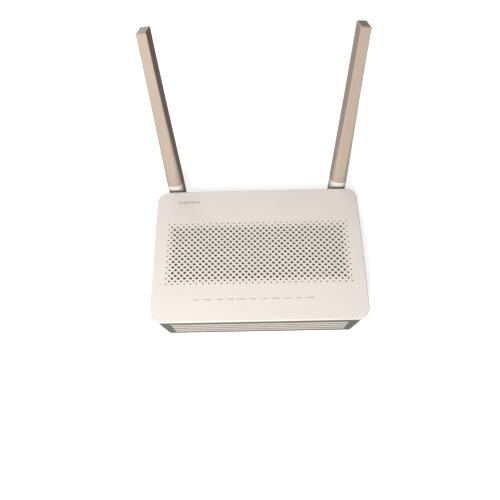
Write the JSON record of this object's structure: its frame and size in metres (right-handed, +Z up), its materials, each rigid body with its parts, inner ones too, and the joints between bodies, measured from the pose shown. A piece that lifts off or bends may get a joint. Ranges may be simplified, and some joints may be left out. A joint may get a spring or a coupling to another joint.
{
  "type": "optical network terminal",
  "caption": "Flat desktop optical network terminal with a perforated cover plate, tapered base with louvres, rear sockets and folding antennas",
  "frame": {"origin": "middle of the case in plan, on the plane the rubber feet stand on; it is the middle of the pair of wall keyholes, within 1 mm in height", "axes": "+Z up; +Y towards the rear, where the sockets and antennas are; +X to the right seen from the front"},
  "size_m": [0.1734, 0.1976, 0.1482],
  "materials": {
    "cover": "cream moulded plastic, fine satin texture",
    "louvre": "pale moulded plastic",
    "base": "warm grey moulded plastic, fine grain",
    "knuckle": "cream moulded plastic",
    "antenna": "satin beige moulded plastic",
    "foot_rubber": "soft black rubber",
    "label": "blank silver-grey film",
    "screw_steel": "zinc-plated steel",
    "hinge_steel": "bright spring steel",
    "light_guide": "clear acrylic",
    "led": "pale LED package",
    "board": "green solder resist",
    "chip": "black moulded epoxy",
    "thermal_pad": "soft grey-blue pad",
    "heat_sink": "extruded, bare",
    "tin": "tin-plated sheet",
    "transformer": "dark moulded ferrite",
    "capacitor": "bare can",
    "switch_black": "black plastic",
    "contact_gold": "gold-plated",
    "pin_metal": "nickel-plated",
    "lan_yellow": "yellow jack housing",
    "phone_grey": "grey jack housing",
    "usb_insulator": "white insulator",
    "optical_green": "green adapter housing",
    "ceramic": "white ceramic",
    "module_metal": "gilded metal barrel",
    "button": "pale button plastic",
    "cable": "thin black coaxial lead"
  },
  "bodies": {
    "case": {"top_cover": "cover", "front_louvre": "louvre", "left_louvre": "louvre", "right_louvre": "louvre", "base_shell": "base", "rubber_feet": "foot_rubber", "rating_label": "label", "case_screws": "screw_steel", "board_screws": "screw_steel", "left_friction_washer": "hinge_steel", "right_friction_washer": "hinge_steel", "light_guide": "light_guide", "indicator_leds": "led", "main_board": "board", "processor": "chip", "memory_chip": "chip", "flash_chip": "chip", "line_chip": "chip", "thermal_pad": "thermal_pad", "heat_sink": "heat_sink", "wifi_24_shield": "tin", "wifi_5_shield": "tin", "usb_port": "tin", "lan_transformers": "transformer", "power_inductors": "transformer", "capacitors": "capacitor", "tact_switches": "switch_black", "power_switch": "switch_black", "dc_jack": "switch_black", "lan_contacts": "contact_gold", "phone_contacts": "contact_gold", "coax_connectors": "contact_gold", "dc_pin": "pin_metal", "lan_jack_1": "lan_yellow", "lan_jack_2": "lan_yellow", "lan_jack_3": "lan_yellow", "lan_jack_4": "lan_yellow", "phone_jack": "phone_grey", "usb_tongue": "usb_insulator", "optical_socket": "optical_green", "ferrule_sleeve": "ceramic", "optical_module": "module_metal", "left_feed_cable": "cable", "right_feed_cable": "cable"},
    "left_knuckle": {"left_knuckle": "knuckle", "left_barrel_clip": "hinge_steel"},
    "right_knuckle": {"right_knuckle": "knuckle", "right_barrel_clip": "hinge_steel"},
    "left_blade": {"left_blade_sleeve": "antenna", "left_blade_fork": "knuckle", "left_radiator_board": "board", "left_hinge_pin": "hinge_steel"},
    "right_blade": {"right_blade_sleeve": "antenna", "right_blade_fork": "knuckle", "right_radiator_board": "board", "right_hinge_pin": "hinge_steel"},
    "power_button": {"power_button": "button"},
    "wlan_button": {"wlan_button": "button"},
    "wps_button": {"wps_button": "button"},
    "reset_plunger": {"reset_plunger": "switch_black"}
  },
  "joints": [
    {"name": "left_swivel", "type": "hinge", "parent": "case", "child": "left_knuckle", "pos_m": [-0.0717, 0.07, 0.016], "axis": [0, -1, 0], "range_deg": [-29, 86]},
    {"name": "right_swivel", "type": "hinge", "parent": "case", "child": "right_knuckle", "pos_m": [0.0717, 0.07, 0.016], "axis": [0, 1, 0], "range_deg": [-29, 86]},
    {"name": "left_tilt", "type": "hinge", "parent": "left_knuckle", "child": "left_blade", "pos_m": [-0.0717, 0.07, 0.016], "axis": [0.9966, 0, 0.0828], "range_deg": [-65, 25]},
    {"name": "right_tilt", "type": "hinge", "parent": "right_knuckle", "child": "right_blade", "pos_m": [0.0717, 0.07, 0.016], "axis": [0.9966, 0, -0.0828], "range_deg": [-65, 25]},
    {"name": "power_press", "type": "slide", "parent": "case", "child": "power_button", "axis": [0, -1, 0], "range_m": [0, 0.0016], "stiffness_N_per_m": 900},
    {"name": "wlan_press", "type": "slide", "parent": "case", "child": "wlan_button", "axis": [1, 0, 0], "range_m": [0, 0.0007], "stiffness_N_per_m": 1500},
    {"name": "wps_press", "type": "slide", "parent": "case", "child": "wps_button", "axis": [1, 0, 0], "range_m": [0, 0.0007], "stiffness_N_per_m": 1500},
    {"name": "reset_press", "type": "slide", "parent": "case", "child": "reset_plunger", "axis": [1, 0, 0], "range_m": [0, 0.0003], "stiffness_N_per_m": 3000}
  ]
}
